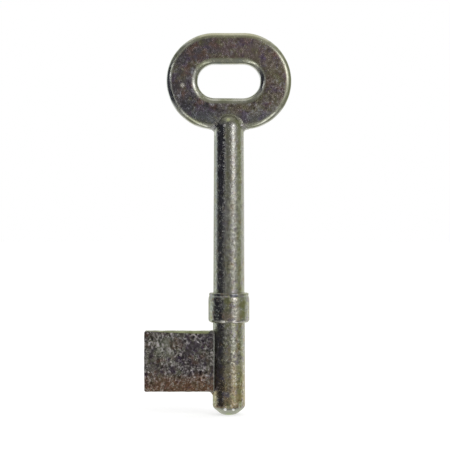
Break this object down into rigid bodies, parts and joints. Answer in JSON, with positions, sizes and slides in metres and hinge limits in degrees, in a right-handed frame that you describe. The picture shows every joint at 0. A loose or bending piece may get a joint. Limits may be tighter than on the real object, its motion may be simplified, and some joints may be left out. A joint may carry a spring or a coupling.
{
  "type": "lever lock key blank",
  "caption": "Plated steel key blank with a slotted oval bow, a round shank with a collar, a blunt coned pin and a plain uncut rectangular bit.",
  "frame": {"origin": "on the shank's axis, in the plane of the collar's lower face, where the key stops against its lock", "axes": "+Z along the shank towards the bow, the bit points to -X, the front face looks to -Y"},
  "size_m": [0.0297, 0.0084, 0.0774],
  "materials": {
    "shank_steel": "turned, nickel plated, handled",
    "collar_steel": "turned, nickel plated, slightly yellowed",
    "bow_steel": "tumbled and nickel plated over a mottled plate",
    "bit_steel": "rough rolled plate, thinly plated, slight rust tint",
    "braze": "plated brazing metal"
  },
  "bodies": {
    "root": {"shank": "shank_steel", "collar": "collar_steel", "bow": "bow_steel", "bit": "bit_steel", "bow_braze_front": "braze", "bow_braze_back": "braze", "bow_braze_left": "braze", "bow_braze_right": "braze", "bit_braze_front": "braze", "bit_braze_back": "braze", "bit_braze_corner": "braze"}
  },
  "joints": []
}
